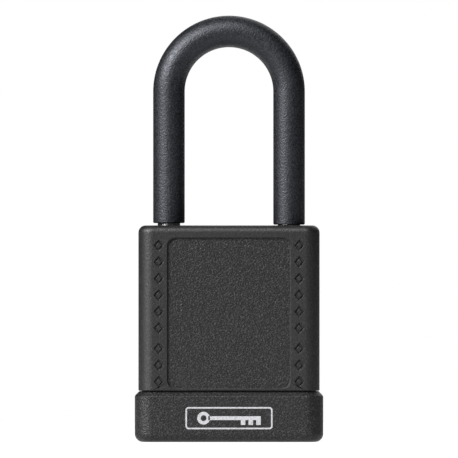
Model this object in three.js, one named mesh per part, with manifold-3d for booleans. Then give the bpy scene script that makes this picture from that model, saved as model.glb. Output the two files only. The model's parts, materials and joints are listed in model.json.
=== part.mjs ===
// A safety padlock: an aluminium lock body in a plastic cover and a plastic bottom cap, a long steel
// shackle in a sheath, and a six-pin cylinder whose cam drives two locking balls.
//
// Millimetres, +Z up. The origin is the middle of the bottom face, the front is towards -Y, the
// shackle's long leg (the heel) is at -X and its short leg (the toe) at +X.
// The model stands closed, with the cylinder turned to its open position: the key pins point to +Y
// and the balls are drawn in. A turn of -90 degrees about +Z locks it.

import * as THREE from "three";
import { mergeVertices } from "three/addons/utils/BufferGeometryUtils.js";
import Module from "manifold-3d";

const wasm = await Module();
wasm.setup();

// ---- Driving dimensions -------------------------------------------------------------------------

// Plastic shells.
const COVER_WIDTH = 40;
const COVER_DEPTH = 21;
const COVER_BOTTOM = 11.3;
const COVER_TOP = 47.8;
const COVER_CORNER = 3.2;
const COVER_EDGE = 1.6;
const CAP_WIDTH = 41.6;
const CAP_DEPTH = 22.6;
const CAP_TOP = 11;
const CAP_CORNER = 3.8;
const CAP_EDGE = 1.8;
const CAP_CHAMFER = 0.9;
const CAP_FLOOR = 1.8;
const POCKET_WIDTH = 37.6;
const POCKET_DEPTH = 18.2;
const POCKET_CORNER = 2.5;
const POCKET_TOP = 46.3;
const LEG_HOLE_RADIUS = 2.95;
const KEY_OPENING_RADIUS = 6.4;
const KEY_OPENING_RIM = 0.7;

// The cover's lip stands inside a rebate in the cap and closes the seam between them.
const LIP_WIDTH = 38.6;
const LIP_DEPTH = 19.2;
const LIP_CORNER = 3;
const LIP_BOTTOM = 9.6;
const REBATE_WIDTH = 39;
const REBATE_DEPTH = 19.6;
const REBATE_CORNER = 3.2;
const REBATE_BOTTOM = 9.3;

// Sunk label field, the same on the front and the back.
const LABEL_WIDTH = 27.3;
const LABEL_BOTTOM = 11.75;
const LABEL_TOP = 45.1;
const LABEL_CORNER = 1.9;
const LABEL_SINK = 0.5;

// Snap beads inside the shells, and their grooves in the lock body.
const BEAD_LENGTH = 23;
const BEAD_HEIGHT = 0.6;
const BEAD_REACH = 8.6;
const CAP_BEAD_Z = 6.1;
const COVER_BEAD_Z = 14.1;
const GROOVE_LENGTH = 24;
const GROOVE_HEIGHT = 1.2;
const GROOVE_FLOOR = 8.3;

// Lock body.
const BODY_WIDTH = 37;
const BODY_DEPTH = 17.6;
const BODY_BOTTOM = 2.1;
const BODY_TOP = 46;
const BODY_CORNER = 2.2;

// Shackle.
const LEG_X = 13.3;
const BOW_Z = 77.45;
const STEEL_RADIUS = 2.5;
const LEG_BORE_RADIUS = 2.75;
const SHEATH_RADIUS = 3.5;
const SHEATH_BORE_RADIUS = 2.8;
const SHEATH_HEEL_END = 48.3;
const SHEATH_TOE_END = 47.95;
const LIFT = 14;
const TOE_BOTTOM = 34.4;
const TOE_BORE_BOTTOM = 34;
const HEEL_BOTTOM = 11.9;
const HEEL_HEAD_TOP = 14.9;
const HEEL_NECK_TOP = 31.6;
const HEEL_NECK_RADIUS = 1.75;
const HEEL_BORE_BOTTOM = 5;

// Locking balls and the cam that moves them.
const BALL_RADIUS = 2.38;
const BALL_Z = 39;
const BALL_OPEN_X = 8.25;
const BALL_LOCKED_X = 9.6;
const BALL_BORE_RADIUS = 2.65;
const NOTCH_RADIUS = 2.6;
const CAM_RADIUS = 7;
const CAM_BOTTOM = 35.6;
const CAM_TOP = 42.7;
const CAM_CLEARANCE = 0.15;
const CAM_CHAMBER_TOP = 43.2;

// Cylinder: housing, plug and pin stacks.
const BARREL_RADIUS = 7;
const BARREL_BORE_RADIUS = 7.3;
const HOUSING_BOTTOM = 2.4;
const HOUSING_TOP = 33;
const HOUSING_SEAT_TOP = 33.3;
const BIBLE_REACH = 14.8;
const BIBLE_HALF = 3;
const PLUG_RADIUS = 5;
const PLUG_BORE_RADIUS = 5.25;
const PLUG_FACE = 1;
const PLUG_HEAD_RADIUS = 6;
const PLUG_HEAD_TOP = 3.4;
const HEAD_SEAT_RADIUS = 6.25;
const HEAD_SEAT_TOP = 3.7;
const CLIP_GROOVE_RADIUS = 4.2;
const CLIP_GROOVE_BOTTOM = 33.25;
const CLIP_GROOVE_TOP = 34.35;
const PLUG_TOP = 35.3;
const TONGUE_LENGTH = 8;
const TONGUE_WIDTH = 2.4;
const TONGUE_TOP = 37.1;
const SLOT_CLEARANCE = 0.3;
const CLIP_OUTER_RADIUS = 6.6;
const CLIP_INNER_RADIUS = 4.45;
const CLIP_THICKNESS = 0.7;

const PIN_COUNT = 6;
const FIRST_PIN_Z = 7.6;
const PIN_PITCH = 3.9;
const PIN_RADIUS = 1.35;
const PIN_BORE_RADIUS = 1.55;
const PIN_TIP = 0.35;
const KEY_PIN_LENGTHS = [3.6, 4.4, 3.2, 4.8, 4, 3.4];
const KEY_PIN_TOP = 4.9;
const KEY_PIN_BORE_FLOOR = -1.2;
const DRIVER_START = 5.15;
const DRIVER_LENGTH = 3.2;
const PIN_SPRING_START = 8.5;
const PIN_SPRING_END = 13.9;
const CHAMBER_END = 14;

// Wire springs.
const PIN_WIRE = 0.2;
const PIN_COIL_RADIUS = 1.1;
const PIN_COIL_TURNS = 6;
const SHACKLE_WIRE = 0.32;
const SHACKLE_COIL_RADIUS = 2;
const SHACKLE_COIL_TURNS = 6;

// Cross pins, pressed through the lock body from front to back.
const CROSS_PIN_RADIUS = 1;
const CROSS_PIN_BORE = 1.15;
const CROSS_PIN_HALF = 8.5;
const HEEL_PIN_X = -10.4;
const HEEL_PIN_Z = 30.2;
const HOUSING_PIN_X = 11;
const HOUSING_PIN_Z = 31;

// Facets round a full circle.
const FINE = 40;
const MEDIUM = 20;
const COARSE = 12;

const QUARTER = Math.PI / 2;
const OVERRUN = 1; // how far a cutter runs past the face it cuts

// ---- Materials ----------------------------------------------------------------------------------

const material = (color, roughness, metalness) =>
  new THREE.MeshStandardMaterial({ color, roughness, metalness });

const coverPlastic = material(0x2a292b, 0.55, 0);
const sheathNylon = material(0x26272b, 0.6, 0);
const aluminium = material(0xb9bbbd, 0.4, 1);
const steel = material(0xa9abad, 0.3, 1);
const springSteel = material(0x8d8f92, 0.35, 1);
const brass = material(0xc9a75a, 0.35, 1);
const nickel = material(0xc4c0b4, 0.3, 1);

// ---- Solids -------------------------------------------------------------------------------------

// A closed three.js geometry as a solid that can be joined and cut.
function solid(geometry) {
  const bare = geometry.clone();
  bare.deleteAttribute("normal");
  bare.deleteAttribute("uv");
  const merged = mergeVertices(bare, 1e-4);
  return new wasm.Manifold(
    new wasm.Mesh({
      numProp: 3,
      vertProperties: merged.attributes.position.array,
      triVerts: new Uint32Array(merged.index.array),
    }),
  );
}

// The geometry of a solid, ready for a mesh.
function geometryOf(body) {
  const { numProp, numVert, vertProperties, triVerts } = body.getMesh();
  const position = new Float32Array(numVert * 3);
  for (let i = 0; i < numVert; i++) {
    position.set(vertProperties.subarray(i * numProp, i * numProp + 3), i * 3);
  }
  const geometry = new THREE.BufferGeometry();
  geometry.setAttribute("position", new THREE.BufferAttribute(position, 3));
  geometry.setIndex(new THREE.BufferAttribute(triVerts, 1));
  geometry.computeVertexNormals();
  return geometry;
}

const joined = (bodies) => bodies.reduce((whole, body) => whole.add(body));
const cut = (body, cutters) => cutters.reduce((rest, cutter) => rest.subtract(cutter), body);

// A block between two corners.
function block(low, high) {
  const size = high.map((value, axis) => value - low[axis]);
  const middle = high.map((value, axis) => (value + low[axis]) / 2);
  return solid(new THREE.BoxGeometry(...size).translate(...middle));
}

// A cylinder standing on +Z at (x, y).
function post(radius, bottom, top, x = 0, y = 0, facets = MEDIUM) {
  const geometry = new THREE.CylinderGeometry(radius, radius, top - bottom, facets);
  return solid(geometry.rotateX(QUARTER).translate(x, y, (bottom + top) / 2));
}

// A cylinder along X, at height z.
function rodAlongX(radius, start, end, z, facets = MEDIUM) {
  const geometry = new THREE.CylinderGeometry(radius, radius, end - start, facets);
  return solid(geometry.rotateZ(QUARTER).translate((start + end) / 2, 0, z));
}

// A cylinder along Y, centred on the padlock's middle plane.
function rodAlongY(radius, half, x, z, facets = COARSE) {
  return solid(new THREE.CylinderGeometry(radius, radius, 2 * half, facets).translate(x, 0, z));
}

// A turned solid on the Z axis, from [radius, z] pairs that run upwards from the axis to the axis.
function turned(profile, facets = MEDIUM) {
  const points = profile.map(([radius, z]) => new THREE.Vector2(radius, z));
  return solid(new THREE.LatheGeometry(points, facets).rotateX(QUARTER));
}

function roundedRectangle(width, height, corner) {
  const x = width / 2 - corner;
  const y = height / 2 - corner;
  const shape = new THREE.Shape();
  shape.absarc(x, y, corner, 0, QUARTER);
  shape.absarc(-x, y, corner, QUARTER, 2 * QUARTER);
  shape.absarc(-x, -y, corner, 2 * QUARTER, 3 * QUARTER);
  shape.absarc(x, -y, corner, 3 * QUARTER, 4 * QUARTER);
  shape.closePath();
  return shape;
}

// A straight prism with rounded upright edges.
function prism(width, depth, corner, bottom, top) {
  const geometry = new THREE.ExtrudeGeometry(roundedRectangle(width, depth, corner), {
    depth: top - bottom,
    bevelEnabled: false,
    curveSegments: 6,
  });
  return solid(geometry.translate(0, 0, bottom));
}

// The same prism with its top and bottom edges rounded, or chamfered when it has one segment.
function softPrism(width, depth, corner, bottom, top, edge, segments) {
  const geometry = new THREE.ExtrudeGeometry(roundedRectangle(width, depth, corner), {
    depth: top - bottom - 2 * edge,
    bevelThickness: edge,
    bevelSize: edge,
    bevelOffset: -edge,
    bevelSegments: segments,
    curveSegments: 6,
  });
  return solid(geometry.translate(0, 0, bottom + edge));
}

// ---- Plastic shells -----------------------------------------------------------------------------

const frontAndBack = (make) => [make(-1), make(1)];

// A bar on the front or back wall: side is -1 at the front and 1 at the back.
function wallBar(side, length, height, z, inner, outer) {
  const [low, high] = [side * inner, side * outer].sort((a, b) => a - b);
  return block([-length / 2, low, z - height / 2], [length / 2, high, z + height / 2]);
}

const snapBead = (side, z) =>
  wallBar(side, BEAD_LENGTH, BEAD_HEIGHT, z, BEAD_REACH, POCKET_DEPTH / 2 + 0.3);

function labelField(side) {
  const height = LABEL_TOP - LABEL_BOTTOM;
  const geometry = new THREE.ExtrudeGeometry(roundedRectangle(LABEL_WIDTH, height, LABEL_CORNER), {
    depth: LABEL_SINK + OVERRUN,
    bevelEnabled: false,
    curveSegments: 5,
  });
  geometry.rotateX(QUARTER).translate(0, (LABEL_SINK + OVERRUN) / 2, 0);
  const middle = COVER_DEPTH / 2 + (OVERRUN - LABEL_SINK) / 2;
  return solid(geometry.translate(0, side * middle, (LABEL_TOP + LABEL_BOTTOM) / 2));
}

function upperCover() {
  const outside = softPrism(
    COVER_WIDTH,
    COVER_DEPTH,
    COVER_CORNER,
    COVER_BOTTOM - 2 * COVER_EDGE,
    COVER_TOP,
    COVER_EDGE,
    3,
  );
  const upper = outside.subtract(
    block([-COVER_WIDTH, -COVER_DEPTH, 0], [COVER_WIDTH, COVER_DEPTH, COVER_BOTTOM]),
  );
  const lip = prism(LIP_WIDTH, LIP_DEPTH, LIP_CORNER, LIP_BOTTOM, COVER_BOTTOM + OVERRUN);
  const shell = cut(upper.add(lip), [
    prism(POCKET_WIDTH, POCKET_DEPTH, POCKET_CORNER, 0, POCKET_TOP),
    post(LEG_HOLE_RADIUS, BODY_TOP, COVER_TOP + OVERRUN, -LEG_X),
    post(LEG_HOLE_RADIUS, BODY_TOP, COVER_TOP + OVERRUN, LEG_X),
    ...frontAndBack(labelField),
  ]);
  return joined([shell, ...frontAndBack((side) => snapBead(side, COVER_BEAD_Z))]);
}

function bottomCap() {
  const rounded = softPrism(CAP_WIDTH, CAP_DEPTH, CAP_CORNER, 0, CAP_TOP + 2 * CAP_EDGE, CAP_EDGE, 3);
  const chamfered = softPrism(
    CAP_WIDTH,
    CAP_DEPTH,
    CAP_CORNER,
    -2 * CAP_CHAMFER,
    CAP_TOP,
    CAP_CHAMFER,
    1,
  );
  const keyOpening = turned(
    [
      [0, -OVERRUN],
      [KEY_OPENING_RADIUS + KEY_OPENING_RIM + OVERRUN, -OVERRUN],
      [KEY_OPENING_RADIUS, KEY_OPENING_RIM],
      [KEY_OPENING_RADIUS, CAP_FLOOR + OVERRUN],
      [0, CAP_FLOOR + OVERRUN],
    ],
    FINE,
  );
  const shell = cut(rounded.intersect(chamfered), [
    prism(POCKET_WIDTH, POCKET_DEPTH, POCKET_CORNER, CAP_FLOOR, CAP_TOP + OVERRUN),
    prism(REBATE_WIDTH, REBATE_DEPTH, REBATE_CORNER, REBATE_BOTTOM, CAP_TOP + OVERRUN),
    keyOpening,
  ]);
  return joined([shell, ...frontAndBack((side) => snapBead(side, CAP_BEAD_Z))]);
}

// ---- Lock body ----------------------------------------------------------------------------------

const snapGroove = (side, z) =>
  wallBar(side, GROOVE_LENGTH, GROOVE_HEIGHT, z, GROOVE_FLOOR, BODY_DEPTH / 2 + OVERRUN);

function lockBody() {
  const slotHalf = BIBLE_HALF + SLOT_CLEARANCE;
  const slotLow = BODY_BOTTOM - OVERRUN;
  return cut(prism(BODY_WIDTH, BODY_DEPTH, BODY_CORNER, BODY_BOTTOM, BODY_TOP), [
    post(LEG_BORE_RADIUS, HEEL_BORE_BOTTOM, BODY_TOP + OVERRUN, -LEG_X),
    post(LEG_BORE_RADIUS, TOE_BORE_BOTTOM, BODY_TOP + OVERRUN, LEG_X),
    post(BARREL_BORE_RADIUS, slotLow, CAM_CHAMBER_TOP, 0, 0, FINE),
    block([0, -slotHalf, slotLow], [BIBLE_REACH + SLOT_CLEARANCE, slotHalf, HOUSING_SEAT_TOP]),
    rodAlongX(BALL_BORE_RADIUS, -LEG_X, BODY_WIDTH / 2 + OVERRUN, BALL_Z),
    rodAlongY(CROSS_PIN_BORE, BODY_DEPTH, HEEL_PIN_X, HEEL_PIN_Z),
    rodAlongY(CROSS_PIN_BORE, BODY_DEPTH, HOUSING_PIN_X, HOUSING_PIN_Z),
    ...frontAndBack((side) => snapGroove(side, CAP_BEAD_Z)),
    ...frontAndBack((side) => snapGroove(side, COVER_BEAD_Z)),
  ]);
}

const ballBorePlug = () =>
  rodAlongX(BALL_BORE_RADIUS - 0.15, LEG_X + LEG_BORE_RADIUS + 0.25, BODY_WIDTH / 2 - 0.2, BALL_Z);

// ---- Shackle ------------------------------------------------------------------------------------

const BOW_STEPS = 24;

// Up one leg, round the bow and down the other; one step for each leg, the rest on the bow.
class ShacklePath extends THREE.Curve {
  constructor(leftEnd, rightEnd) {
    super();
    this.ends = [leftEnd, rightEnd];
  }

  getPointAt(u) {
    const step = u * (BOW_STEPS + 2);
    if (step < 0.5) return new THREE.Vector3(-LEG_X, 0, this.ends[0]);
    if (step > BOW_STEPS + 1.5) return new THREE.Vector3(LEG_X, 0, this.ends[1]);
    const angle = Math.PI * (1 - (step - 1) / BOW_STEPS);
    return new THREE.Vector3(LEG_X * Math.cos(angle), 0, BOW_Z + LEG_X * Math.sin(angle));
  }

  getTangentAt(u) {
    const along = THREE.MathUtils.clamp((u * (BOW_STEPS + 2) - 1) / BOW_STEPS, 0, 1);
    const angle = Math.PI * (1 - along);
    return new THREE.Vector3(Math.sin(angle), 0, -Math.cos(angle));
  }
}

// A round bar swept along a path.
function swept(radius, path, steps, arcSegments) {
  const circle = new THREE.Shape().absarc(0, 0, radius, 0, 4 * QUARTER);
  return solid(
    new THREE.ExtrudeGeometry(circle, { extrudePath: path, steps, curveSegments: arcSegments }),
  );
}

const shackleBar = (radius, leftEnd, rightEnd) =>
  swept(radius, new ShacklePath(leftEnd, rightEnd), BOW_STEPS + 2, 10);

const ballAt = (radius, x, z, across, up) =>
  solid(new THREE.SphereGeometry(radius, across, up).rotateX(QUARTER).translate(x, 0, z));

// The notch at the raised ball height lets the cylinder be locked with the shackle open.
function shackleCore() {
  const neckRing = post(SHEATH_RADIUS, HEEL_HEAD_TOP, HEEL_NECK_TOP, -LEG_X).subtract(
    post(HEEL_NECK_RADIUS, HEEL_BOTTOM, HEEL_NECK_TOP + OVERRUN, -LEG_X),
  );
  return cut(shackleBar(STEEL_RADIUS, HEEL_BOTTOM, TOE_BOTTOM), [
    neckRing,
    ballAt(NOTCH_RADIUS, -BALL_LOCKED_X, BALL_Z, 20, 12),
    ballAt(NOTCH_RADIUS, -BALL_LOCKED_X, BALL_Z - LIFT, 20, 12),
    ballAt(NOTCH_RADIUS, BALL_LOCKED_X, BALL_Z, 20, 12),
  ]);
}

const shackleSheath = () =>
  shackleBar(SHEATH_RADIUS, SHEATH_HEEL_END, SHEATH_TOE_END).subtract(
    shackleBar(SHEATH_BORE_RADIUS, SHEATH_HEEL_END - OVERRUN, SHEATH_TOE_END - OVERRUN),
  );

// ---- Locking balls and cam ----------------------------------------------------------------------

const lockingBall = (side) => ballAt(BALL_RADIUS, side * BALL_OPEN_X, BALL_Z, 16, 10);

// The two pockets get shallower over a quarter turn, which pushes the balls out.
function lockingCam() {
  const pockets = [];
  const steps = 12;
  for (let i = 0; i <= steps; i++) {
    const reach = BALL_OPEN_X + ((BALL_LOCKED_X - BALL_OPEN_X) * i) / steps;
    const x = reach * Math.cos((QUARTER * i) / steps);
    const y = reach * Math.sin((QUARTER * i) / steps);
    const radius = BALL_RADIUS + CAM_CLEARANCE;
    for (const side of [-1, 1]) {
      pockets.push(post(radius, CAM_BOTTOM - 1, CAM_TOP + 1, side * x, side * y));
    }
  }
  const halfLength = TONGUE_LENGTH / 2 + 0.2;
  const halfWidth = TONGUE_WIDTH / 2 + 0.2;
  const slot = block(
    [-halfWidth, -halfLength, CAM_BOTTOM - OVERRUN],
    [halfWidth, halfLength, TONGUE_TOP + SLOT_CLEARANCE],
  );
  return cut(post(CAM_RADIUS, CAM_BOTTOM, CAM_TOP, 0, 0, FINE), [...pockets, slot]);
}

// ---- Cylinder -----------------------------------------------------------------------------------

const pinHeight = (index) => FIRST_PIN_Z + PIN_PITCH * index;
const pinIndices = Array.from({ length: PIN_COUNT }, (_, index) => index);

function cylinderHousing() {
  const barrel = post(BARREL_RADIUS, HOUSING_BOTTOM, HOUSING_TOP, 0, 0, FINE);
  const bible = block([0, -BIBLE_HALF, HOUSING_BOTTOM], [BIBLE_REACH, BIBLE_HALF, HOUSING_TOP]);
  return cut(barrel.add(bible), [
    post(PLUG_BORE_RADIUS, HOUSING_BOTTOM - OVERRUN, HOUSING_TOP + OVERRUN, 0, 0, FINE),
    post(HEAD_SEAT_RADIUS, HOUSING_BOTTOM - OVERRUN, HEAD_SEAT_TOP, 0, 0, FINE),
    rodAlongY(CROSS_PIN_BORE, BODY_DEPTH, HOUSING_PIN_X, HOUSING_PIN_Z),
    ...pinIndices.map((index) =>
      rodAlongX(PIN_BORE_RADIUS, PLUG_RADIUS - OVERRUN, CHAMBER_END, pinHeight(index), COARSE),
    ),
  ]);
}

// The keyway is cut from below and is bent, so that only a key of its own section goes in.
function keyway() {
  const top = HOUSING_TOP - 2;
  return joined([
    block([-0.7, -3.9, PLUG_FACE - OVERRUN], [0.9, -0.9, top]),
    block([-1.3, -1.5, PLUG_FACE - OVERRUN], [0.3, 1.1, top]),
    block([-0.7, 0.5, PLUG_FACE - OVERRUN], [0.9, 3.9, top]),
  ]);
}

function plug() {
  const turnedBody = turned(
    [
      [0, PLUG_FACE],
      [PLUG_HEAD_RADIUS - 0.3, PLUG_FACE],
      [PLUG_HEAD_RADIUS, PLUG_FACE + 0.3],
      [PLUG_HEAD_RADIUS, PLUG_HEAD_TOP],
      [PLUG_RADIUS, PLUG_HEAD_TOP],
      [PLUG_RADIUS, CLIP_GROOVE_BOTTOM],
      [CLIP_GROOVE_RADIUS, CLIP_GROOVE_BOTTOM],
      [CLIP_GROOVE_RADIUS, CLIP_GROOVE_TOP],
      [PLUG_RADIUS, CLIP_GROOVE_TOP],
      [PLUG_RADIUS, PLUG_TOP],
      [0, PLUG_TOP],
    ],
    FINE,
  );
  const tongue = block(
    [-TONGUE_WIDTH / 2, -TONGUE_LENGTH / 2, PLUG_TOP - OVERRUN],
    [TONGUE_WIDTH / 2, TONGUE_LENGTH / 2, TONGUE_TOP],
  );
  const bores = pinIndices.map((index) => {
    const length = PLUG_RADIUS + OVERRUN - KEY_PIN_BORE_FLOOR;
    const bore = new THREE.CylinderGeometry(PIN_BORE_RADIUS, PIN_BORE_RADIUS, length, COARSE);
    return solid(bore.translate(0, KEY_PIN_BORE_FLOOR + length / 2, pinHeight(index)));
  });
  return cut(turnedBody.add(tongue), [keyway(), ...bores]);
}

// A flat ring with an open side, snapped into the groove of the plug.
function plugClip() {
  const bottom = HOUSING_TOP + 0.45;
  const ring = post(CLIP_OUTER_RADIUS, bottom, bottom + CLIP_THICKNESS, 0, 0, FINE);
  return cut(ring, [
    post(CLIP_INNER_RADIUS, bottom - OVERRUN, bottom + OVERRUN + CLIP_THICKNESS, 0, 0, FINE),
    block([-2.8, -BARREL_RADIUS, bottom - OVERRUN], [2.8, 0, bottom + OVERRUN + CLIP_THICKNESS]),
  ]);
}

// A pin with its tip at the bottom, standing on the origin.
function pinBlank(length, tip) {
  return turned(
    [
      [0, 0],
      [PIN_RADIUS - tip, 0],
      [PIN_RADIUS, tip],
      [PIN_RADIUS, length],
      [0, length],
    ],
    COARSE,
  );
}

const keyPin = (index) =>
  pinBlank(KEY_PIN_LENGTHS[index], 2 * PIN_TIP)
    .rotate([-90, 0, 0])
    .translate([0, KEY_PIN_TOP - KEY_PIN_LENGTHS[index], pinHeight(index)]);

const driverPin = (index) =>
  pinBlank(DRIVER_LENGTH, PIN_TIP)
    .rotate([0, 90, 0])
    .translate([DRIVER_START, 0, pinHeight(index)]);

// ---- Springs and cross pins ---------------------------------------------------------------------

class Helix extends THREE.Curve {
  constructor(radius, turns, length) {
    super();
    this.radius = radius;
    this.turns = turns;
    this.length = length;
  }

  getPoint(t) {
    const angle = 4 * QUARTER * this.turns * t;
    const x = this.radius * Math.cos(angle);
    return new THREE.Vector3(x, this.radius * Math.sin(angle), this.length * t);
  }
}

// A coil spring standing on the origin, with its wire inside the given length.
function coilSpring(radius, wire, turns, length) {
  const helix = new Helix(radius, turns, length - 2 * wire);
  return swept(wire, helix, turns * 9, 3).translate([0, 0, wire]);
}

const pinSpring = (index) =>
  coilSpring(PIN_COIL_RADIUS, PIN_WIRE, PIN_COIL_TURNS, PIN_SPRING_END - PIN_SPRING_START)
    .rotate([0, 90, 0])
    .translate([PIN_SPRING_START, 0, pinHeight(index)]);

function shackleSpring() {
  const bottom = HEEL_BORE_BOTTOM + 0.1;
  const length = HEEL_BOTTOM - 0.1 - bottom;
  return coilSpring(SHACKLE_COIL_RADIUS, SHACKLE_WIRE, SHACKLE_COIL_TURNS, length).translate([
    -LEG_X,
    0,
    bottom,
  ]);
}

const crossPin = (x, z) => rodAlongY(CROSS_PIN_RADIUS, CROSS_PIN_HALF, x, z);

// ---- Assembly -----------------------------------------------------------------------------------

const padlock = new THREE.Group();
padlock.name = "safety_padlock";

function place(name, body, surface) {
  const mesh = new THREE.Mesh(geometryOf(body), surface);
  mesh.name = name;
  padlock.add(mesh);
}

place("upper_cover", upperCover(), coverPlastic);
place("bottom_cap", bottomCap(), coverPlastic);
place("lock_body", lockBody(), aluminium);
place("ball_bore_plug", ballBorePlug(), aluminium);
place("shackle_core", shackleCore(), steel);
place("shackle_sheath", shackleSheath(), sheathNylon);
place("shackle_spring", shackleSpring(), springSteel);
place("heel_retaining_pin", crossPin(HEEL_PIN_X, HEEL_PIN_Z), steel);
place("housing_retaining_pin", crossPin(HOUSING_PIN_X, HOUSING_PIN_Z), steel);
place("locking_ball_heel", lockingBall(-1), steel);
place("locking_ball_toe", lockingBall(1), steel);
place("locking_cam", lockingCam(), nickel);
place("cylinder_housing", cylinderHousing(), brass);
place("plug", plug(), brass);
place("plug_clip", plugClip(), springSteel);
for (const index of pinIndices) {
  place(`key_pin_${index + 1}`, keyPin(index), brass);
  place(`driver_pin_${index + 1}`, driverPin(index), nickel);
  place(`pin_spring_${index + 1}`, pinSpring(index), springSteel);
}

export default padlock;
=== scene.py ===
"""Looks of the safety padlock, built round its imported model.

Everything is in metres, in the model's frame: +Z up, the front faces -Y. The plastic shells, the
sheath and the shackle are rebuilt with finer shapes, and a printed emblem is added to the cap; the
pieces inside keep their own solids and get procedural materials.
"""
import json
import math

import bmesh
import bpy
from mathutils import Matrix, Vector


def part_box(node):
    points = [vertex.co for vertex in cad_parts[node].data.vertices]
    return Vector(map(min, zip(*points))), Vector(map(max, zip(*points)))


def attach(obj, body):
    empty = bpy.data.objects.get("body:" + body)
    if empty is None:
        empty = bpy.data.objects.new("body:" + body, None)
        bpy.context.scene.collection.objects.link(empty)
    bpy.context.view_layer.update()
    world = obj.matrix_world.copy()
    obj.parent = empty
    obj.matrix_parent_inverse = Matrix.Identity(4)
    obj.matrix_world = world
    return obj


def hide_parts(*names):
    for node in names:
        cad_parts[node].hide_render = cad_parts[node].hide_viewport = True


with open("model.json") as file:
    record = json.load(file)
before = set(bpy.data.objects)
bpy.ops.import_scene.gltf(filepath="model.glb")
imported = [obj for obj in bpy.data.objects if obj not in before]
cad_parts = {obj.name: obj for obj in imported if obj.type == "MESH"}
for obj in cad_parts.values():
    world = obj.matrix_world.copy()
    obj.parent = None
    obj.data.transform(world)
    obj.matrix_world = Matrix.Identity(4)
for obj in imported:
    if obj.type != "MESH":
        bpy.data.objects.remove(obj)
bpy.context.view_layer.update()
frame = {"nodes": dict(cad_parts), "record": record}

MM = 0.001
QUARTER = math.pi / 2
SKIN = 0.03 * MM  # how far the printed emblem stands proud of the cap

# ---- Camera -------------------------------------------------------------------------------------

VIEW_WIDTH = 101 * MM
VIEW_HEIGHT_MIDDLE = 47 * MM
CAMERA_DISTANCE = 2.5
SENSOR_WIDTH = 36  # millimetres, as Blender counts it
NEAREST_SEEN = 0.01
FARTHEST_SEEN = 20


def make_camera():
    """A long lens straight in front, at half the height of the view."""
    data = bpy.data.cameras.new("camera")
    data.sensor_width = SENSOR_WIDTH
    data.lens = data.sensor_width * CAMERA_DISTANCE / VIEW_WIDTH
    data.clip_start = NEAREST_SEEN
    data.clip_end = FARTHEST_SEEN
    camera = bpy.data.objects.new("camera", data)
    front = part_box("upper_cover")[0].y
    camera.location = (0, front - CAMERA_DISTANCE, VIEW_HEIGHT_MIDDLE)
    camera.rotation_euler = (QUARTER, 0, 0)
    bpy.context.collection.objects.link(camera)
    bpy.context.scene.camera = camera


# ---- Mesh helpers -------------------------------------------------------------------------------

LEAST_CORNER = 0.01 * MM
FILLET_STEPS = 8
DISC_FACETS = 64
CIRCLE_POINTS = 48
BEVEL_SEGMENTS = 2


def to_object(name, bm):
    """A linked object from a bmesh, with its normals outwards."""
    bmesh.ops.recalc_face_normals(bm, faces=bm.faces)
    mesh = bpy.data.meshes.new(name)
    bm.to_mesh(mesh)
    bm.free()
    piece = bpy.data.objects.new(name, mesh)
    bpy.context.collection.objects.link(piece)
    return piece


def bridge(bm, rings, closed=False):
    """Quads between each ring and the next; open ends are capped."""
    pairs = list(zip(rings, rings[1:]))
    if closed:
        pairs.append((rings[-1], rings[0]))
    for first, second in pairs:
        for i in range(len(first)):
            j = (i + 1) % len(first)
            bm.faces.new((first[i], first[j], second[j], second[i]))
    if not closed:
        bm.faces.new(rings[0])
        bm.faces.new(rings[-1])


def rounded_loop(width, height, corner, segments):
    """Points of a rectangle with round corners, about the origin."""
    points = []
    for quarter in range(4):
        middle_x = (width / 2 - corner) * (1 if quarter in (0, 3) else -1)
        middle_y = (height / 2 - corner) * (1 if quarter in (0, 1) else -1)
        for step in range(segments + 1):
            angle = QUARTER * (quarter + step / segments)
            x = middle_x + corner * math.cos(angle)
            points.append((x, middle_y + corner * math.sin(angle)))
    return points


def stacked(name, width, depth, corner, levels, place, segments=12):
    """A block of rounded rectangles. levels are (height, inset); place turns (x, y, height) round."""
    bm = bmesh.new()
    rings = []
    for height, inset in levels:
        round_off = max(corner - inset, LEAST_CORNER)
        loop = rounded_loop(width - 2 * inset, depth - 2 * inset, round_off, segments)
        rings.append([bm.verts.new(place(x, y, height)) for x, y in loop])
    bridge(bm, rings)
    return to_object(name, bm)


def upright(x, y, height):
    """The place function of a block that stands on the floor."""
    return (x, y, height)


def fillet(start, radius, direction):
    """Levels of a quarter-round edge: direction 1 opens upwards from start, -1 closes towards it."""
    levels = []
    for step in range(FILLET_STEPS + 1):
        angle = QUARTER * step / FILLET_STEPS
        rise = radius * (1 - math.cos(angle))
        levels.append((start + direction * rise, radius * (1 - math.sin(angle))))
    return levels if direction > 0 else levels[::-1]


def circle(x, radius):
    """Points of a circle round x."""
    turn = 2 * math.pi / CIRCLE_POINTS
    steps = range(CIRCLE_POINTS)
    return [(x + radius * math.cos(turn * i), radius * math.sin(turn * i)) for i in steps]


def disc_stack(name, x, levels):
    """A round solid on an upright axis at x. levels are (z, radius)."""
    bm = bmesh.new()
    rings = []
    for z, radius in levels:
        ring = []
        for i in range(DISC_FACETS):
            angle = 2 * math.pi * i / DISC_FACETS
            spot = (x + radius * math.cos(angle), radius * math.sin(angle), z)
            ring.append(bm.verts.new(spot))
        rings.append(ring)
    bridge(bm, rings)
    return to_object(name, bm)


def carve(piece, cutter, operation="DIFFERENCE"):
    """Cuts the cutter from the piece, or joins it, and removes the cutter."""
    modifier = piece.modifiers.new("carve", "BOOLEAN")
    modifier.operation = operation
    modifier.solver = "EXACT"
    modifier.object = cutter
    bpy.context.view_layer.update()
    evaluated = piece.evaluated_get(bpy.context.evaluated_depsgraph_get())
    mesh = bpy.data.meshes.new_from_object(evaluated)
    piece.modifiers.clear()
    piece.data = mesh
    bpy.data.objects.remove(cutter)


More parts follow.
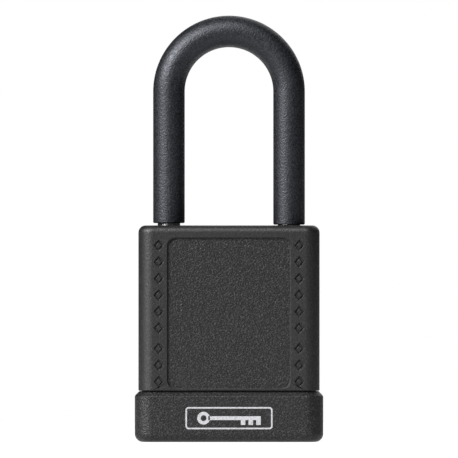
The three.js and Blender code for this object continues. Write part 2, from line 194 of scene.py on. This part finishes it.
def soften(piece, width, angle=35):
    """Smooth shading, with small round edges where two faces meet at more than the angle."""
    piece.data.polygons.foreach_set("use_smooth", [True] * len(piece.data.polygons))
    piece.data.set_sharp_from_angle(angle=math.radians(angle))
    if width:
        bevel = piece.modifiers.new("edge", "BEVEL")
        bevel.width = width
        bevel.segments = BEVEL_SEGMENTS
        bevel.limit_method = "ANGLE"
        bevel.angle_limit = math.radians(angle)
        bevel.harden_normals = True
    normals = piece.modifiers.new("normals", "WEIGHTED_NORMAL")
    normals.keep_sharp = True


# ---- Materials ----------------------------------------------------------------------------------

GRAIN_TURN = (0.4, 0.7, 0.2)
NOISE_LOW = 0.3  # a noise value seldom leaves the range from here to NOISE_HIGH
NOISE_HIGH = 0.7

# Scales of the noises, in cycles per metre.
NYLON_SPECKS = 3700
NYLON_GRAIN = 2500
SHEATH_GRAIN = 2600
SHEATH_DULLNESS = 1200
SHEATH_LINES = 1500
INK_GRAIN = 2900
TOOL_LINES = 2500
METAL_STAIN = 180

# Linear colours. A speck is the palest spot of a grain, and a pit its darkest.
NYLON_COLOUR = (0.009, 0.0086, 0.0094)
NYLON_PIT = (0.0005, 0.0005, 0.0006)
SMOOTH_SPECK = (0.02, 0.019, 0.021)
GRAINED_SPECK = (0.032, 0.0305, 0.0335)
SHEATH_COLOUR = (0.006, 0.0063, 0.008)
SHEATH_PIT = (0.0004, 0.0005, 0.0008)
SHEATH_SPECK = (0.009, 0.0096, 0.0125)
SHEATH_SHEEN = (0.88, 0.91, 1, 1)
INK_COLOUR = (0.5, 0.5, 0.51)
INK_PIT = (0.2, 0.2, 0.21)
INK_SPECK = (0.34, 0.34, 0.355)
STAIN_DARKNESS = 0.86  # a stained spot's share of the metal's own colour


class Surface:
    """A Principled material and short calls to add its procedural detail."""

    def __init__(self, name, colour, roughness, metallic=0.0, specular=0.5):
        self.material = bpy.data.materials.new(name)
        self.material.use_nodes = True
        self.tree = self.material.node_tree
        self.shader = self.tree.nodes["Principled BSDF"]
        self.shader.inputs["Base Color"].default_value = (*colour, 1)
        self.shader.inputs["Roughness"].default_value = roughness
        self.shader.inputs["Metallic"].default_value = metallic
        self.shader.inputs["Specular IOR Level"].default_value = specular
        self.place = self.tree.nodes.new("ShaderNodeTexCoord")

    def link(self, source, target):
        """Joins two sockets."""
        self.tree.links.new(source, target)

    def noise(self, scale, detail, stretch=None):
        """A noise value. Without a stretch the noise is turned off the axes, so that a flat face
        never runs along its cells."""
        mapping = self.tree.nodes.new("ShaderNodeMapping")
        if stretch:
            mapping.inputs["Scale"].default_value = stretch
        else:
            mapping.inputs["Rotation"].default_value = GRAIN_TURN
        self.link(self.place.outputs["Object"], mapping.inputs["Vector"])
        noise = self.tree.nodes.new("ShaderNodeTexNoise")
        noise.inputs["Scale"].default_value = scale
        noise.inputs["Detail"].default_value = detail
        self.link(mapping.outputs["Vector"], noise.inputs["Vector"])
        return noise.outputs["Fac"]

    def tint(self, value, dark, light, low=0.35, high=0.7):
        """Colour from dark to light, as the value goes from low to high."""
        ramp = self.tree.nodes.new("ShaderNodeValToRGB")
        ramp.color_ramp.elements[0].position = low
        ramp.color_ramp.elements[0].color = (*dark, 1)
        ramp.color_ramp.elements[1].position = high
        ramp.color_ramp.elements[1].color = (*light, 1)
        self.link(value, ramp.inputs["Fac"])
        self.link(ramp.outputs["Color"], self.shader.inputs["Base Color"])

    def rough(self, value, first, last):
        """Roughness from first to last, over the range of a noise."""
        ranged = self.tree.nodes.new("ShaderNodeMapRange")
        ranged.inputs["From Min"].default_value = NOISE_LOW
        ranged.inputs["From Max"].default_value = NOISE_HIGH
        ranged.inputs["To Min"].default_value = first
        ranged.inputs["To Max"].default_value = last
        self.link(value, ranged.inputs["Value"])
        self.link(ranged.outputs["Result"], self.shader.inputs["Roughness"])

    def bump(self, value, strength, height):
        """Relief from the value, on top of any relief that is there already."""
        bump = self.tree.nodes.new("ShaderNodeBump")
        bump.inputs["Strength"].default_value = strength
        bump.inputs["Distance"].default_value = height
        previous = self.shader.inputs["Normal"].links
        if previous:
            self.link(previous[0].from_socket, bump.inputs["Normal"])
        self.link(value, bump.inputs["Height"])
        self.link(bump.outputs["Normal"], self.shader.inputs["Normal"])


def moulded_nylon(name, gloss, speck, grain_height):
    """Moulded black nylon with a spark-eroded grain: fine pits and small pale specks."""
    surface = Surface(name, NYLON_COLOUR, 0.5, specular=gloss)
    grain = surface.noise(NYLON_SPECKS, 2)
    surface.tint(grain, NYLON_PIT, speck, 0.5, 0.68)
    surface.rough(grain, 0.58, 0.42)
    surface.bump(surface.noise(NYLON_GRAIN, 2), 1.0, grain_height)
    return surface.material


def sheath_nylon():
    """Smoother extruded nylon, slightly blue, with faint lines along the legs."""
    surface = Surface("sheath_nylon", SHEATH_COLOUR, 0.42, specular=0.52)
    surface.shader.inputs["Specular Tint"].default_value = SHEATH_SHEEN
    grain = surface.noise(SHEATH_GRAIN, 2)
    surface.tint(grain, SHEATH_PIT, SHEATH_SPECK, 0.44, 0.64)
    surface.rough(surface.noise(SHEATH_DULLNESS, 3), 0.42, 0.56)
    surface.bump(grain, 1.0, 0.1 * MM)
    surface.bump(surface.noise(SHEATH_LINES, 2, (1, 1, 0.04)), 0.12, 0.01 * MM)
    return surface.material


def printed_ink():
    """Pale silver ink, thin enough for the grain below to show."""
    surface = Surface("printed_ink", INK_COLOUR, 0.5)
    grain = surface.noise(INK_GRAIN, 4)
    surface.tint(grain, INK_PIT, INK_SPECK, 0.3, 0.5)
    surface.bump(grain, 0.3, 0.02 * MM)
    return surface.material


def metal(name, colour, roughness, stretch):
    """Metal with fine tool lines; stretch is small along the lines."""
    surface = Surface(name, colour, roughness, metallic=1.0)
    lines = surface.noise(TOOL_LINES, 3, stretch)
    stain = surface.noise(METAL_STAIN, 3)
    surface.tint(stain, tuple(STAIN_DARKNESS * c for c in colour), colour)
    surface.rough(lines, roughness - 0.08, roughness + 0.1)
    surface.bump(lines, 0.3, 0.01 * MM)
    return surface.material


def make_materials():
    """The material of each slot, and two that aren't slots: the grained plastic and the ink."""
    return {
        "cover_plastic": moulded_nylon("cover_plastic", 0.46, SMOOTH_SPECK, 0.06 * MM),
        "grained_plastic": moulded_nylon("grained_plastic", 0.35, GRAINED_SPECK, 0.14 * MM),
        "sheath_nylon": sheath_nylon(),
        "aluminium": metal("aluminium", (0.55, 0.56, 0.57), 0.38, (1, 1, 0.03)),
        "steel": metal("steel", (0.5, 0.51, 0.52), 0.25, (0.5, 0.5, 1)),
        "spring_steel": metal("spring_steel", (0.33, 0.34, 0.35), 0.3, (1, 1, 0.3)),
        "brass": metal("brass", (0.62, 0.43, 0.16), 0.3, (1, 0.1, 1)),
        "nickel": metal("nickel", (0.58, 0.56, 0.5), 0.22, (1, 0.2, 1)),
        "ink": printed_ink(),
    }


def finish_piece(piece, body, slot_name, materials, *nodes):
    """Gives a new piece its material and body, and hides the CAD nodes that it stands for."""
    piece.data.materials.clear()
    piece.data.materials.append(materials[slot_name])
    if nodes:
        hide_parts(*nodes)
    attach(piece, body)


# ---- Plastic shells -----------------------------------------------------------------------------

COVER_CORNER = 3.2 * MM
COVER_EDGE = 1.6 * MM
COVER_BEVEL = 0.07 * MM
CAP_CORNER = 3.8 * MM
CAP_EDGE = 1.8 * MM
CAP_CHAMFER = 0.9 * MM
CAP_FLOOR = 1.8 * MM
CAP_BEVEL = 0.12 * MM
POCKET_GAP = 0.3 * MM
SEAM = 0.3 * MM
SEAM_EDGE = 0.12 * MM
POCKET_CORNER = 2.5 * MM
LEG_HOLE_RADIUS = 2.95 * MM
LEG_HOLE_RIM = 0.3 * MM
LEG_HOLE_PAST = 0.1 * MM
LIP_WIDTH = 38.6 * MM
LIP_DEPTH = 19.2 * MM
LIP_CORNER = 3 * MM
LIP_BOTTOM = 9.6 * MM
REBATE_WIDTH = 39 * MM
REBATE_DEPTH = 19.6 * MM
REBATE_CORNER = 3.2 * MM
REBATE_BOTTOM = 9.3 * MM
BEAD_LENGTH = 23 * MM
BEAD_HEIGHT = 0.6 * MM
BEAD_REACH = 8.6 * MM
BEAD_CORNER = 0.1 * MM
CAP_BEAD_Z = 6.1 * MM
COVER_BEAD_Z = 14.1 * MM
KEY_HOLE_RADIUS = 6.4 * MM
KEY_HOLE_RIM = 0.7 * MM
LABEL_WIDTH = 27.3 * MM
LABEL_BOTTOM = 11.75 * MM
LABEL_TOP = 45.1 * MM
LABEL_CORNER = 1.9 * MM
LABEL_SINK = 0.5 * MM
LABEL_DRAFT = 0.14 * MM
LABEL_ROUND = ((0.04 * MM, 0.05 * MM), (0.12 * MM, 0.09 * MM))  # rise and step outwards, by the floor
LABEL_FLATNESS = 0.02 * MM
PAST = 2 * MM  # how far a cutter runs past the face it cuts

MARK_X = 15.5 * MM
MARK_TOP = 43.4 * MM
MARK_PITCH = 3.65 * MM
MARK_GAP = 0.85 * MM
MARKS_ABOVE_GAP = 6
MARK_COUNT = 9
MARK_HALF_WIDTH = 1.15 * MM
MARK_HALF_HEIGHT = 1.35 * MM
MARK_STROKE = 0.6 * MM
MARK_DEPTH = 0.4 * MM
MARK_DRAFT = 0.06 * MM


def leg_x():
    """How far the axis of each leg is from the middle."""
    low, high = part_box("shackle_sheath")
    radius = (high.y - low.y) / 2
    return high.x - radius


def pocket(name, bottom, top):
    """The hollow for the lock body, a little wider than it."""
    low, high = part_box("lock_body")
    width = high.x - low.x + 2 * POCKET_GAP
    depth = high.y - low.y + 2 * POCKET_GAP
    return stacked(name, width, depth, POCKET_CORNER, [(bottom, 0), (top, 0)], upright)


def add_beads(piece, z):
    """The two snap beads inside a shell, one on the front wall and one on the back."""
    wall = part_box("lock_body")[1].y + 2 * POCKET_GAP
    for side in (-1, 1):

        def place(x, y, height):
            return (x, side * (y + (wall + BEAD_REACH) / 2), height)

        levels = [(z - BEAD_HEIGHT / 2, 0), (z + BEAD_HEIGHT / 2, 0)]
        bead = stacked("bead", BEAD_LENGTH, wall - BEAD_REACH, BEAD_CORNER, levels, place, 3)
        carve(piece, bead, "UNION")


def label_cutter(side, face):
    """The sunk field: its walls open outwards a little, and its floor edge is round."""

    def place(x, y, height):
        return (x, side * height, y + (LABEL_TOP + LABEL_BOTTOM) / 2)

    floor = face - LABEL_SINK
    levels = [
        (floor, LABEL_DRAFT),
        *((floor + rise, LABEL_DRAFT - step) for rise, step in LABEL_ROUND),
        (face, 0),
        (face + PAST, 0),
    ]
    height = LABEL_TOP - LABEL_BOTTOM
    return stacked("label_cutter", LABEL_WIDTH, height, LABEL_CORNER, levels, place, 8)


def on_label_floor(point, floor):
    """True on the floor of a sunk field, front or back."""
    deep = abs(abs(point.y) - floor) < LABEL_FLATNESS
    return deep and abs(point.x) < LABEL_WIDTH / 2 and LABEL_BOTTOM < point.z < LABEL_TOP


def mark_cutter(side, face):
    """Two columns of hollow diamonds, each a groove that narrows towards its floor."""
    bm = bmesh.new()
    for column in (-MARK_X, MARK_X):
        for index in range(MARK_COUNT):
            drop = MARK_PITCH * index + (MARK_GAP if index >= MARKS_ABOVE_GAP else 0)
            middle = MARK_TOP - drop
            add_diamond(bm, column, middle, side, face)
    return to_object("mark_cutter", bm)


def add_diamond(bm, x, z, side, face):
    """One ring-shaped cutter with four corners, narrower at its floor."""
    section = [
        (0.0, face + PAST),
        (MARK_DRAFT, face - MARK_DEPTH),
        (MARK_STROKE - MARK_DRAFT, face - MARK_DEPTH),
        (MARK_STROKE, face + PAST),
    ]
    rings = []
    for inset, depth in section:
        wide = MARK_HALF_WIDTH - inset
        tall = MARK_HALF_HEIGHT - inset * MARK_HALF_HEIGHT / MARK_HALF_WIDTH
        corners = [(wide, 0), (0, tall), (-wide, 0), (0, -tall)]
        rings.append([bm.verts.new((x + a, side * depth, z + b)) for a, b in corners])
    bridge(bm, rings, closed=True)


def make_cover(materials):
    """The upper shell, with its lip, its leg holes, and a sunk field and marks on both faces."""
    low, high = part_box("upper_cover")
    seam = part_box("bottom_cap")[1].z + SEAM
    levels = [(seam, SEAM_EDGE), (seam + SEAM_EDGE, 0), *fillet(high.z, COVER_EDGE, -1)]
    width = high.x - low.x
    piece = stacked("cover_shell", width, high.y - low.y, COVER_CORNER, levels, upright)
    lip_levels = [(LIP_BOTTOM, 0), (seam + PAST, 0)]
    lip = stacked("lip", LIP_WIDTH, LIP_DEPTH, LIP_CORNER, lip_levels, upright)
    carve(piece, lip, "UNION")
    body_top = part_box("lock_body")[1].z
    carve(piece, pocket("pocket", LIP_BOTTOM - PAST, body_top + POCKET_GAP))
    add_beads(piece, COVER_BEAD_Z)
    for x in (-leg_x(), leg_x()):
        hole = [
            (body_top - PAST, LEG_HOLE_RADIUS),
            (high.z - LEG_HOLE_RIM, LEG_HOLE_RADIUS),
            (high.z + LEG_HOLE_PAST, LEG_HOLE_RADIUS + LEG_HOLE_RIM + LEG_HOLE_PAST),
        ]
        carve(piece, disc_stack("leg_hole", x, hole))
    for side in (-1, 1):
        carve(piece, label_cutter(side, high.y))
        carve(piece, mark_cutter(side, high.y))
    soften(piece, COVER_BEVEL)
    finish_piece(piece, "case", "cover_plastic", materials, "upper_cover")
    piece.data.materials.append(materials["grained_plastic"])
    for face in piece.data.polygons:
        if on_label_floor(face.center, high.y - LABEL_SINK):
            face.material_index = 1


def make_cap(materials):
    """The lower shell. Its faces stand back by the skin, so that the print on them fits its box."""
    low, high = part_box("bottom_cap")
    levels = [
        *fillet(low.z, CAP_EDGE, 1),
        (high.z - CAP_CHAMFER, 0),
        (high.z, CAP_CHAMFER),
    ]
    width = high.x - low.x
    depth = high.y - low.y - 2 * SKIN
    piece = stacked("cap_shell", width, depth, CAP_CORNER, levels, upright)
    carve(piece, pocket("pocket", CAP_FLOOR, high.z + PAST))
    levels = [(REBATE_BOTTOM, 0), (high.z + PAST, 0)]
    carve(piece, stacked("rebate", REBATE_WIDTH, REBATE_DEPTH, REBATE_CORNER, levels, upright))
    add_beads(piece, CAP_BEAD_Z)
    opening = [
        (-PAST, KEY_HOLE_RADIUS + KEY_HOLE_RIM + PAST),
        (0.0, KEY_HOLE_RADIUS + KEY_HOLE_RIM),
        (KEY_HOLE_RIM, KEY_HOLE_RADIUS),
        (CAP_FLOOR + PAST, KEY_HOLE_RADIUS),
    ]
    carve(piece, disc_stack("key_opening", 0, opening))
    soften(piece, CAP_BEVEL)
    finish_piece(piece, "case", "cover_plastic", materials, "bottom_cap")
    piece.data.materials[0] = materials["grained_plastic"]  # same slot as the cover, coarser grain


# ---- Printed emblem: a plain frame round a key sign ---------------------------------------------

EMBLEM_WIDTH = 19.2 * MM
EMBLEM_HEIGHT = 4.9 * MM
EMBLEM_CORNER = 0.7 * MM
EMBLEM_LINE = 0.34 * MM
EMBLEM_Z = 5.3 * MM
KEY_RING = 1.4 * MM
KEY_RING_LINE = 0.75 * MM
KEY_X = -5.6 * MM
KEY_SHAFT_END = 7 * MM
KEY_SHAFT_HALF = 0.42 * MM
KEY_TEETH = (2.6 * MM, 4.3 * MM, 6 * MM)
KEY_TOOTH_WIDTH = 1 * MM
KEY_TOOTH_DROP = 1.5 * MM


def ink_plate(name, outer, inner, face):
    """Flat print from a closed outline, with a second outline where it has a hole."""
    sides = [(outer, face), (outer, face - SKIN)]
    if inner:
        sides += [(inner, face - SKIN), (inner, face)]
    bm = bmesh.new()
    rings = []
    for outline, y in sides:
        rings.append([bm.verts.new((x, y, EMBLEM_Z + z)) for x, z in outline])
    bridge(bm, rings, closed=bool(inner))
    return to_object(name, bm)


def key_blade():
    """Shaft and teeth as one outline, from the ring to the tip and back."""
    start = KEY_X + KEY_RING - KEY_RING_LINE / 2
    outline = [(start, -KEY_SHAFT_HALF)]
    for tooth in KEY_TEETH:
        outline += [
            (tooth, -KEY_SHAFT_HALF),
            (tooth, -KEY_TOOTH_DROP),
            (tooth + KEY_TOOTH_WIDTH, -KEY_TOOTH_DROP),
            (tooth + KEY_TOOTH_WIDTH, -KEY_SHAFT_HALF),
        ]
    return outline + [
        (KEY_SHAFT_END, -KEY_SHAFT_HALF),
        (KEY_SHAFT_END, KEY_SHAFT_HALF),
        (start, KEY_SHAFT_HALF),
    ]


def make_emblem(materials):
    """Three flat prints on the front of the cap."""
    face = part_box("bottom_cap")[0].y + SKIN
    inside = EMBLEM_WIDTH - 2 * EMBLEM_LINE, EMBLEM_HEIGHT - 2 * EMBLEM_LINE
    outlines = {
        "emblem_border": (
            rounded_loop(EMBLEM_WIDTH, EMBLEM_HEIGHT, EMBLEM_CORNER, 8),
            rounded_loop(*inside, EMBLEM_CORNER - EMBLEM_LINE, 8),
        ),
        "emblem_ring": (circle(KEY_X, KEY_RING), circle(KEY_X, KEY_RING - KEY_RING_LINE)),
        "emblem_blade": (key_blade(), None),
    }
    for name, (outer, inner) in outlines.items():
        piece = ink_plate(name, outer, inner, face)
        piece.data.materials.append(materials["ink"])
        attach(piece, "case")


# ---- Shackle ------------------------------------------------------------------------------------

BAR_FACETS = 56
BOW_STEPS = 72
BOW_Z = 77.45 * MM
SHEATH_WALL = 0.7 * MM
SHEATH_LIP = 0.3 * MM
SHEATH_LIP_STEPS = 4
SHEATH_SMOOTH_ANGLE = 50
SHEATH_HEEL_END = 48.3 * MM
HEEL_HEAD_TOP = 14.9 * MM
HEEL_NECK_TOP = 31.6 * MM
HEEL_NECK_RADIUS = 1.75 * MM
STEEL_CHAMFER = 0.3 * MM
NOTCH_RADIUS = 2.6 * MM
BALL_REACH = 1.35 * MM
LIFT = 14 * MM
TOE_BOTTOM = 34.4 * MM


def shackle_ring(bm, where, radius):
    """A ring round the shackle's line. where is ("left", z), ("right", z) or ("bow", angle)."""
    kind, value = where
    side = leg_x()
    angle = {"left": math.pi, "right": 0.0}.get(kind, value)
    out = Vector((math.cos(angle), 0, math.sin(angle)))
    middle = out * side + Vector((0, 0, BOW_Z))
    if kind != "bow":
        middle.z = value
    ring = []
    for i in range(BAR_FACETS):
        turn = 2 * math.pi * i / BAR_FACETS
        offset = out * math.cos(turn) + Vector((0, math.sin(turn), 0))
        ring.append(bm.verts.new(middle + offset * radius))
    return ring


def bow_line(radius):
    """(place, radius) pairs over the bow, from the left leg to the right."""
    steps = range(BOW_STEPS + 1)
    return [(("bow", math.pi * (1 - step / BOW_STEPS)), radius) for step in steps]


def make_sheath(materials):
    """The sleeve, as one closed tube with round lips at its two ends."""
    low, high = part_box("shackle_sheath")
    outer = (high.y - low.y) / 2
    inner = outer - SHEATH_WALL
    lip = []
    for step in range(SHEATH_LIP_STEPS + 1):
        angle = QUARTER * step / SHEATH_LIP_STEPS
        rise = SHEATH_LIP * (1 - math.sin(angle))
        lip.append((rise, outer - SHEATH_LIP * (1 - math.cos(angle))))
    rings = [(("left", SHEATH_HEEL_END + rise), radius) for rise, radius in reversed(lip)]
    rings += bow_line(outer)
    rings += [(("right", low.z + rise), radius) for rise, radius in lip]
    rings += [(("right", low.z), inner)]
    rings += bow_line(inner)[::-1]
    rings += [(("left", SHEATH_HEEL_END), inner)]
    bm = bmesh.new()
    bridge(bm, [shackle_ring(bm, where, radius) for where, radius in rings], closed=True)
    piece = to_object("sheath", bm)
    soften(piece, 0, SHEATH_SMOOTH_ANGLE)
    finish_piece(piece, "shackle", "sheath_nylon", materials, "shackle_sheath")


def make_steel(materials):
    """The steel bar: heel with its thin neck, bow and toe, with notches for the locking balls."""
    low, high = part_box("shackle_core")
    radius = (high.y - low.y) / 2
    rings = [
        (("left", low.z), radius - STEEL_CHAMFER),
        (("left", low.z + STEEL_CHAMFER), radius),
        (("left", HEEL_HEAD_TOP), radius),
        (("left", HEEL_HEAD_TOP), HEEL_NECK_RADIUS),
        (("left", HEEL_NECK_TOP), HEEL_NECK_RADIUS),
        (("left", HEEL_NECK_TOP), radius),
        *bow_line(radius),
        (("right", TOE_BOTTOM + STEEL_CHAMFER), radius),
        (("right", TOE_BOTTOM), radius - STEEL_CHAMFER),
    ]
    bm = bmesh.new()
    bridge(bm, [shackle_ring(bm, where, size) for where, size in rings])
    piece = to_object("shackle_steel", bm)
    ball_low, ball_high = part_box("locking_ball_toe")
    ball_x = (ball_low.x + ball_high.x) / 2 + BALL_REACH
    ball_z = (ball_low.z + ball_high.z) / 2
    for x, z in ((-ball_x, ball_z), (-ball_x, ball_z - LIFT), (ball_x, ball_z)):
        cutter_mesh = bmesh.new()
        bmesh.ops.create_uvsphere(cutter_mesh, u_segments=40, v_segments=24, radius=NOTCH_RADIUS)
        bmesh.ops.translate(cutter_mesh, verts=cutter_mesh.verts, vec=(x, 0, z))
        carve(piece, to_object("notch_cutter", cutter_mesh))
    soften(piece, 0)
    finish_piece(piece, "shackle", "steel", materials, "shackle_core")


# ---- Pieces inside ------------------------------------------------------------------------------

WIRE_NODES = ("shackle_spring", "pin_spring")
WIRE_SMOOTH_ANGLE = 80
NODE_SMOOTH_ANGLE = 40
NODE_BEVEL = 0.08 * MM


def dress_nodes(materials):
    """Every carried-over solid gets its slot's material, and soft edges unless it is a wire."""
    slots = {row["node"]: row["material_slot"] for row in frame["record"]["subparts"]}
    for name, node in frame["nodes"].items():
        if node.hide_render:
            continue
        node.data.materials.clear()
        node.data.materials.append(materials[slots[name]])
        if name.startswith(WIRE_NODES):
            soften(node, 0, WIRE_SMOOTH_ANGLE)
        else:
            soften(node, NODE_BEVEL, NODE_SMOOTH_ANGLE)


# ---- Floor, background and light ----------------------------------------------------------------

FLOOR_REACH = 0.25
FLOOR_Z = -0.05 * MM  # just clear of the bottom face, so the two never share a plane
FLOOR_COLOUR = (0.08, 0.08, 0.08)
FLOOR_GLOW = 0.95
SOFT_LIGHT = 0.03
WHITE = (1, 1, 1, 1)

# Name, place, size across and power in watts of each lamp.
LAMPS = (
    ("key", (-0.78, -0.78, 0.62), 0.5, 32),
    ("side", (-1.0, -0.4, 0.5), 0.3, 2.6),
    ("top", (-0.1, -0.65, 0.9), 0.3, 6),
    ("back", (0.3, 0.9, 0.7), 1.2, 5),
)


def area_light(name, place, target, size, power):
    """A round lamp that faces the target."""
    data = bpy.data.lights.new(name, "AREA")
    data.shape = "DISK"
    data.size = size
    data.energy = power
    light = bpy.data.objects.new(name, data)
    light.location = place
    aim = Vector(target) - Vector(place)
    light.rotation_euler = aim.to_track_quat("-Z", "Y").to_euler()
    bpy.context.collection.objects.link(light)


def make_floor():
    """A floor that is white by its own glow, and isn't part of the padlock."""
    bm = bmesh.new()
    corners = ((-1, -1), (1, -1), (1, 1), (-1, 1))
    bm.faces.new([bm.verts.new((x * FLOOR_REACH, y * FLOOR_REACH, FLOOR_Z)) for x, y in corners])
    floor = to_object("floor", bm)
    surface = Surface("floor_card", FLOOR_COLOUR, 0.9, specular=0.1)
    surface.shader.inputs["Emission Color"].default_value = WHITE
    surface.shader.inputs["Emission Strength"].default_value = FLOOR_GLOW
    floor.data.materials.append(surface.material)


def make_world():
    """A plain white background, which lights the padlock only softly."""
    world = bpy.data.worlds.new("studio")
    bpy.context.scene.world = world
    world.use_nodes = True
    nodes = world.node_tree.nodes
    links = world.node_tree.links
    soft = nodes["Background"]
    soft.inputs["Color"].default_value = WHITE
    soft.inputs["Strength"].default_value = SOFT_LIGHT
    white = nodes.new("ShaderNodeBackground")
    white.inputs["Color"].default_value = WHITE
    choice = nodes.new("ShaderNodeMixShader")
    ray = nodes.new("ShaderNodeLightPath")
    links.new(ray.outputs["Is Camera Ray"], choice.inputs["Fac"])
    links.new(soft.outputs["Background"], choice.inputs[1])
    links.new(white.outputs["Background"], choice.inputs[2])
    links.new(choice.outputs["Shader"], nodes["World Output"].inputs["Surface"])


def make_light():
    """The lamps, all aimed at the middle of the view, and plain colours in the picture."""
    for name, place, size, power in LAMPS:
        area_light(name, place, (0, 0, VIEW_HEIGHT_MIDDLE), size, power)
    bpy.context.scene.view_settings.view_transform = "Standard"


# ---- The padlock --------------------------------------------------------------------------------

make_camera()
materials = make_materials()
make_cover(materials)
make_cap(materials)
make_emblem(materials)
make_sheath(materials)
make_steel(materials)
dress_nodes(materials)
make_floor()
make_world()
make_light()
